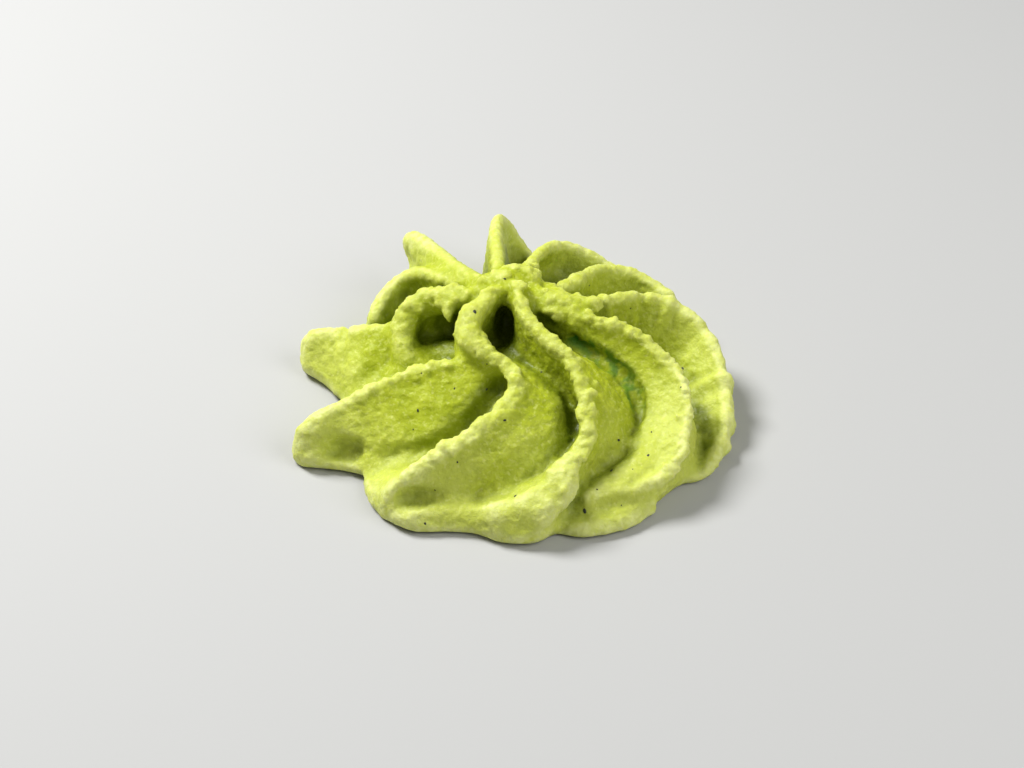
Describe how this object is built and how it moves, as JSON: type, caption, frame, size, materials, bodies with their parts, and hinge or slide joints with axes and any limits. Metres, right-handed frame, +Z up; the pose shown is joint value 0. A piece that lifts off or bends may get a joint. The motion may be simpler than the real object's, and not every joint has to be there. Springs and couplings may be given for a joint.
{
  "type": "piped wasabi paste rosette",
  "caption": "Rosette of green wasabi paste piped through a star nozzle: curling ridges run down from a torn central knot to a flat underside.",
  "frame": {"origin": "middle of the flat underside's bounding box", "axes": "+Z up out of the plate; -Y towards the side from which the long front ridges are seen; the ridges' knot lies near the Z axis"},
  "size_m": [0.0318, 0.031, 0.0099],
  "materials": {
    "wasabi_paste": "moist, finely grained paste"
  },
  "bodies": {
    "root": {"wasabi_rosette": "wasabi_paste"}
  },
  "joints": []
}
